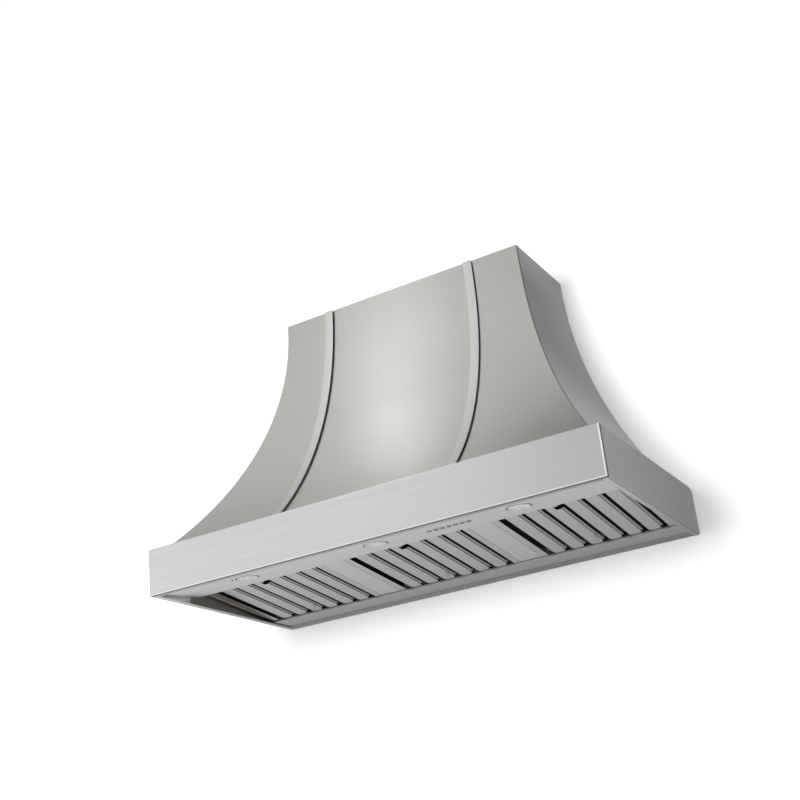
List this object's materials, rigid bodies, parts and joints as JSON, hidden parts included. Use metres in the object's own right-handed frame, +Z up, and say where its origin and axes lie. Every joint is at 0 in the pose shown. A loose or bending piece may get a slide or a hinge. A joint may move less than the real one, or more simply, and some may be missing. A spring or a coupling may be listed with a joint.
{
  "type": "wall mount range hood",
  "caption": "Wall mount range hood: bell-shaped sheet canopy with raised straps on a straight rim, lamps and push buttons on a sloping panel, baffle filters, blower and flap damper inside.",
  "frame": {"origin": "on the wall plane, on the centre line, level with the bottom of the rim", "axes": "+X along the wall to the right as seen from the room, +Y into the wall, +Z up"},
  "size_m": [1.22, 0.61, 0.806],
  "materials": {
    "canopy_steel": "brushed",
    "strap_steel": "brushed",
    "rim_steel": "brushed",
    "panel_steel": "brushed",
    "bezel_steel": "satin",
    "lens_white": "frosted",
    "liner_steel": "satin",
    "filter_steel": "satin",
    "galvanised": "galvanised",
    "motor_paint": "satin",
    "bright_steel": "polished",
    "board_green": "matte"
  },
  "bodies": {
    "hood": {"canopy_front": "canopy_steel", "canopy_left": "canopy_steel", "canopy_right": "canopy_steel", "canopy_top": "galvanised", "strap_left": "strap_steel", "strap_right": "strap_steel", "rim_front": "rim_steel", "rim_left": "rim_steel", "rim_right": "rim_steel", "rim_rear": "rim_steel", "back_panel": "galvanised", "mounting_rails": "galvanised", "control_panel": "panel_steel", "control_cover": "galvanised", "switch_board": "board_green", "lamp_left_body": "bezel_steel", "lamp_middle_body": "bezel_steel", "lamp_right_body": "bezel_steel", "lamp_left_lens": "lens_white", "lamp_middle_lens": "lens_white", "lamp_right_lens": "lens_white", "divider_left": "liner_steel", "divider_right": "liner_steel", "side_liner_left": "liner_steel", "side_liner_right": "liner_steel", "grease_trough": "liner_steel", "blower_scroll": "galvanised", "blower_cheeks": "galvanised", "blower_motor": "motor_paint", "motor_bracket": "galvanised", "duct_collar": "galvanised", "damper_pin": "bright_steel", "junction_box": "galvanised", "collar_screws": "bright_steel", "panel_screw": "bright_steel"},
    "filter_left": {"filter_left_frame": "filter_steel", "filter_left_lower": "filter_steel", "filter_left_upper": "filter_steel", "filter_left_pull": "filter_steel"},
    "filter_middle": {"filter_middle_frame": "filter_steel", "filter_middle_lower": "filter_steel", "filter_middle_upper": "filter_steel", "filter_middle_pull": "filter_steel"},
    "filter_right": {"filter_right_frame": "filter_steel", "filter_right_lower": "filter_steel", "filter_right_upper": "filter_steel", "filter_right_pull": "filter_steel"},
    "button_1": {"button_1": "bezel_steel"},
    "button_2": {"button_2": "bezel_steel"},
    "button_3": {"button_3": "bezel_steel"},
    "button_4": {"button_4": "bezel_steel"},
    "button_5": {"button_5": "bezel_steel"},
    "button_6": {"button_6": "bezel_steel"},
    "button_7": {"button_7": "bezel_steel"},
    "rotor": {"wheel_rings": "galvanised", "wheel_blades": "galvanised", "wheel_disc": "galvanised", "motor_shaft": "bright_steel"},
    "damper_front": {"damper_flap_front": "galvanised"},
    "damper_rear": {"damper_flap_rear": "galvanised"}
  },
  "joints": [
    {"name": "filter_left_out", "type": "slide", "parent": "hood", "child": "filter_left", "axis": [0, 0, -1], "range_m": [0, 0.1]},
    {"name": "filter_middle_out", "type": "slide", "parent": "hood", "child": "filter_middle", "axis": [0, 0, -1], "range_m": [0, 0.1]},
    {"name": "filter_right_out", "type": "slide", "parent": "hood", "child": "filter_right", "axis": [0, 0, -1], "range_m": [0, 0.1]},
    {"name": "button_1_press", "type": "slide", "parent": "hood", "child": "button_1", "axis": [0, -0.0995, 0.995], "range_m": [0, 0.0015], "stiffness_N_per_m": 500, "springref_m": -0.002},
    {"name": "button_2_press", "type": "slide", "parent": "hood", "child": "button_2", "axis": [0, -0.0995, 0.995], "range_m": [0, 0.0015], "stiffness_N_per_m": 500, "springref_m": -0.002},
    {"name": "button_3_press", "type": "slide", "parent": "hood", "child": "button_3", "axis": [0, -0.0995, 0.995], "range_m": [0, 0.0015], "stiffness_N_per_m": 500, "springref_m": -0.002},
    {"name": "button_4_press", "type": "slide", "parent": "hood", "child": "button_4", "axis": [0, -0.0995, 0.995], "range_m": [0, 0.0015], "stiffness_N_per_m": 500, "springref_m": -0.002},
    {"name": "button_5_press", "type": "slide", "parent": "hood", "child": "button_5", "axis": [0, -0.0995, 0.995], "range_m": [0, 0.0015], "stiffness_N_per_m": 500, "springref_m": -0.002},
    {"name": "button_6_press", "type": "slide", "parent": "hood", "child": "button_6", "axis": [0, -0.0995, 0.995], "range_m": [0, 0.0015], "stiffness_N_per_m": 500, "springref_m": -0.002},
    {"name": "button_7_press", "type": "slide", "parent": "hood", "child": "button_7", "axis": [0, -0.0995, 0.995], "range_m": [0, 0.0015], "stiffness_N_per_m": 500, "springref_m": -0.002},
    {"name": "rotor_spin", "type": "hinge", "parent": "hood", "child": "rotor", "pos_m": [0, -0.182, 0.5178], "axis": [1, 0, 0], "continuous": true},
    {"name": "damper_front_swing", "type": "hinge", "parent": "hood", "child": "damper_front", "pos_m": [0, -0.13, 0.78], "axis": [-1, 0, 0], "range_deg": [0, 80]},
    {"name": "damper_rear_swing", "type": "hinge", "parent": "hood", "child": "damper_rear", "pos_m": [0, -0.13, 0.78], "axis": [1, 0, 0], "range_deg": [0, 80]}
  ]
}
